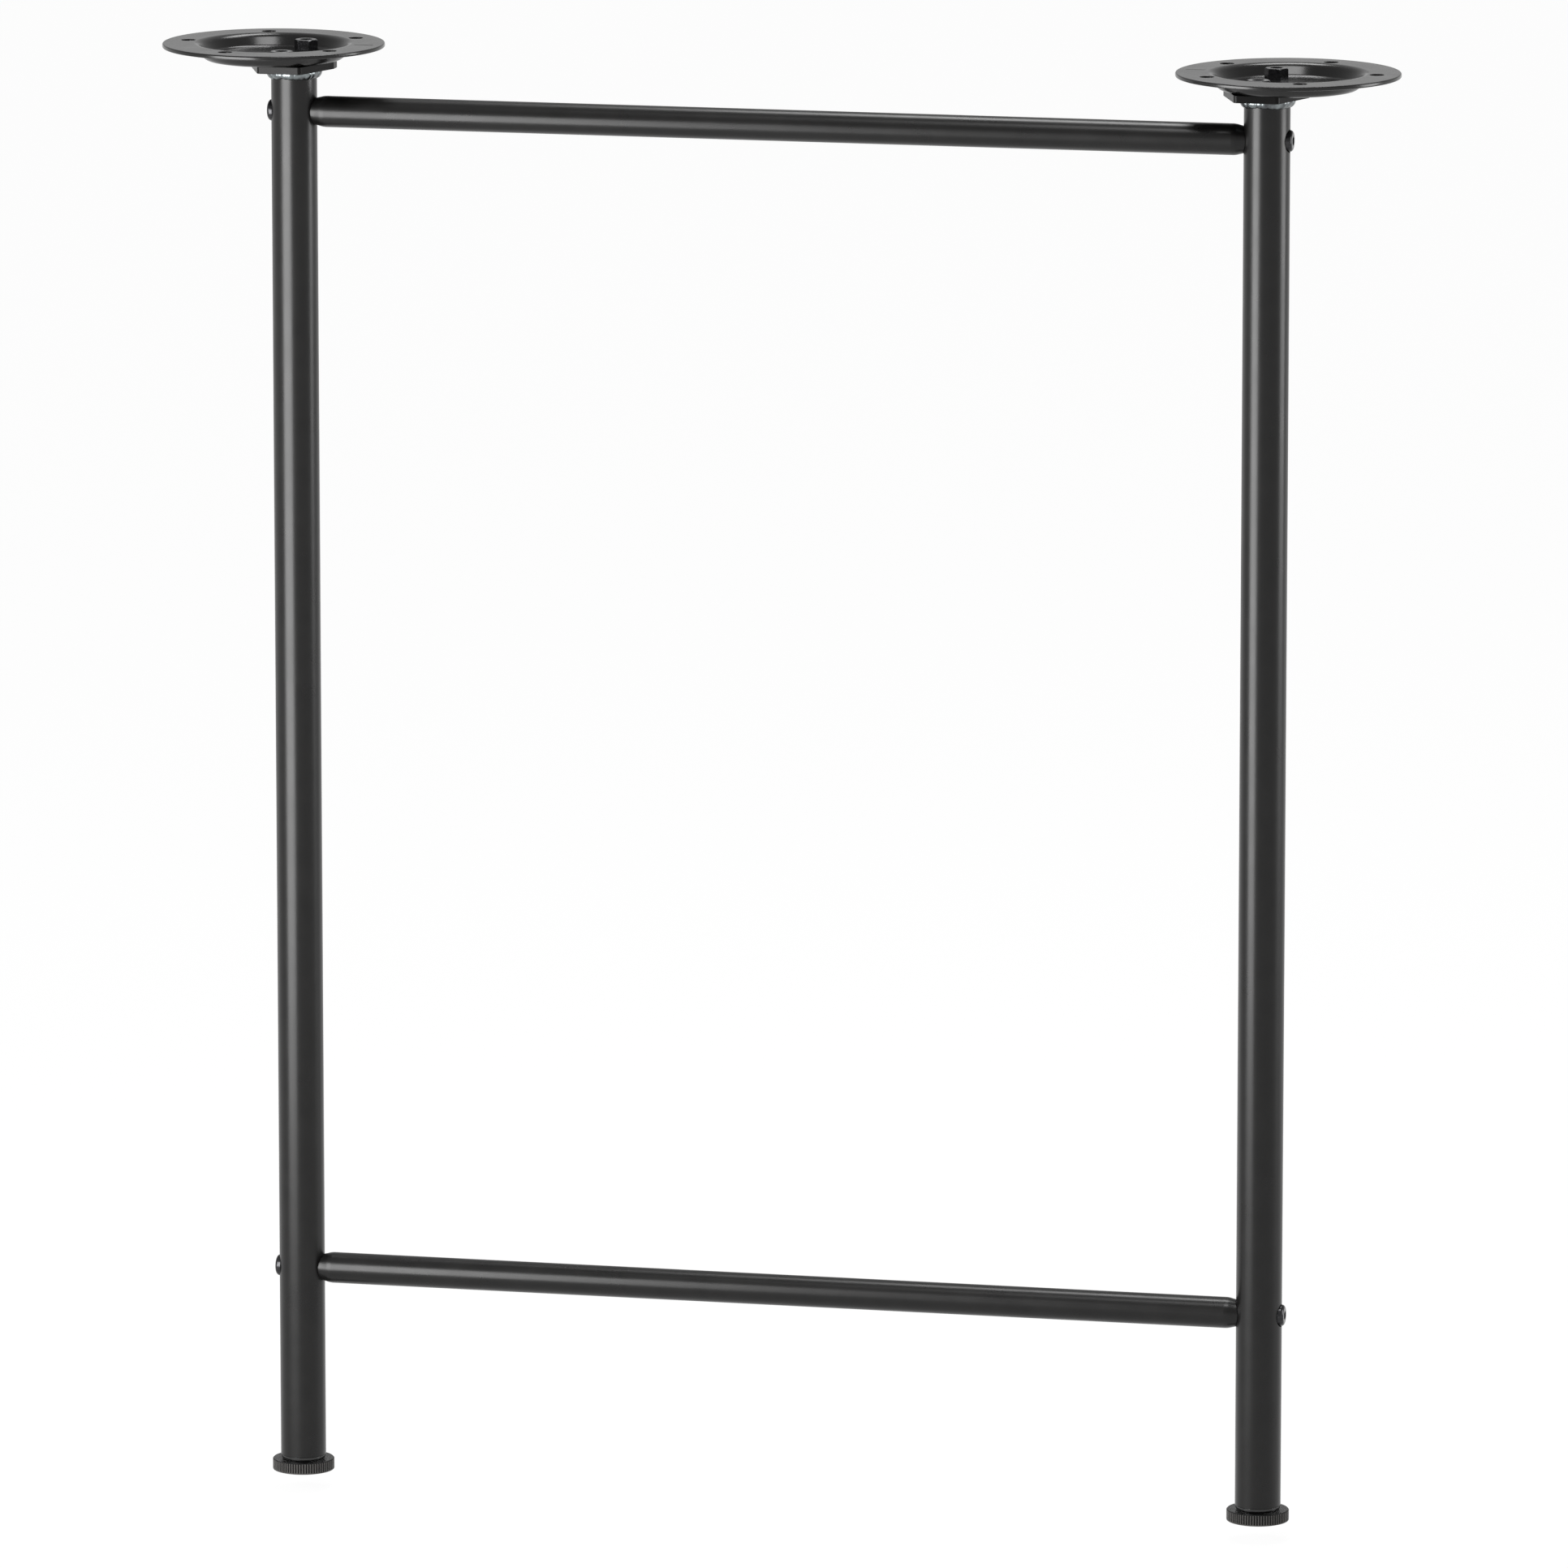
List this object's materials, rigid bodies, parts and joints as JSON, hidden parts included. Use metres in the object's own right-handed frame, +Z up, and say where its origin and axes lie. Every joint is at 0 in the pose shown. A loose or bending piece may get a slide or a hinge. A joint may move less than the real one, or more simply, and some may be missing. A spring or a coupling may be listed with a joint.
{
  "type": "table leg",
  "caption": "H-shaped steel table leg: round posts joined by crossbars, dished round mounting plates on top and knurled levelling feet below.",
  "frame": {"origin": "on the floor, midway between the posts", "axes": "+X along the crossbars, +Y across the frame's depth, +Z up the posts"},
  "size_m": [0.6, 0.1064, 0.7],
  "materials": {
    "satin_black_steel": "satin black powder coat",
    "weld_metal": "bright rippled weld",
    "black_fastener": "black zinc",
    "zinc_steel": "zinc plated",
    "black_plastic": "moulded, knurled edge",
    "gloss_black_plastic": "moulded, glossy"
  },
  "bodies": {
    "frame": {"left_post": "satin_black_steel", "left_flange": "satin_black_steel", "left_weld_bead": "weld_metal", "left_mounting_plate": "satin_black_steel", "left_plate_studs": "zinc_steel", "left_plate_nuts": "black_fastener", "left_foot_insert": "gloss_black_plastic", "left_foot_bush": "zinc_steel", "right_post": "satin_black_steel", "right_flange": "satin_black_steel", "right_weld_bead": "weld_metal", "right_mounting_plate": "satin_black_steel", "right_plate_studs": "zinc_steel", "right_plate_nuts": "black_fastener", "right_foot_insert": "gloss_black_plastic", "right_foot_bush": "zinc_steel", "upper_crossbar": "satin_black_steel", "upper_left_bar_plug": "zinc_steel", "upper_right_bar_plug": "zinc_steel", "lower_crossbar": "satin_black_steel", "lower_left_bar_plug": "zinc_steel", "lower_right_bar_plug": "zinc_steel", "crossbar_bolts": "black_fastener"},
    "left_foot_screw": {"left_foot_stud": "zinc_steel"},
    "left_foot": {"left_foot_disc": "black_plastic"},
    "right_foot_screw": {"right_foot_stud": "zinc_steel"},
    "right_foot": {"right_foot_disc": "black_plastic"}
  },
  "joints": [
    {"name": "left_foot_lower", "type": "slide", "parent": "frame", "child": "left_foot_screw", "axis": [0, 0, -1], "range_m": [0, 0.01]},
    {"name": "left_foot_turn", "type": "hinge", "parent": "left_foot_screw", "child": "left_foot", "pos_m": [-0.23675, 0, 0], "axis": [0, 0, -1], "range_deg": [0, 2880]},
    {"name": "right_foot_lower", "type": "slide", "parent": "frame", "child": "right_foot_screw", "axis": [0, 0, -1], "range_m": [0, 0.01]},
    {"name": "right_foot_turn", "type": "hinge", "parent": "right_foot_screw", "child": "right_foot", "pos_m": [0.23675, 0, 0], "axis": [0, 0, -1], "range_deg": [0, 2880]}
  ],
  "couplings": [
    {"joint": "left_foot_lower", "follows": "left_foot_turn", "m_per_rad": 0.00019894},
    {"joint": "right_foot_lower", "follows": "right_foot_turn", "m_per_rad": 0.00019894}
  ]
}
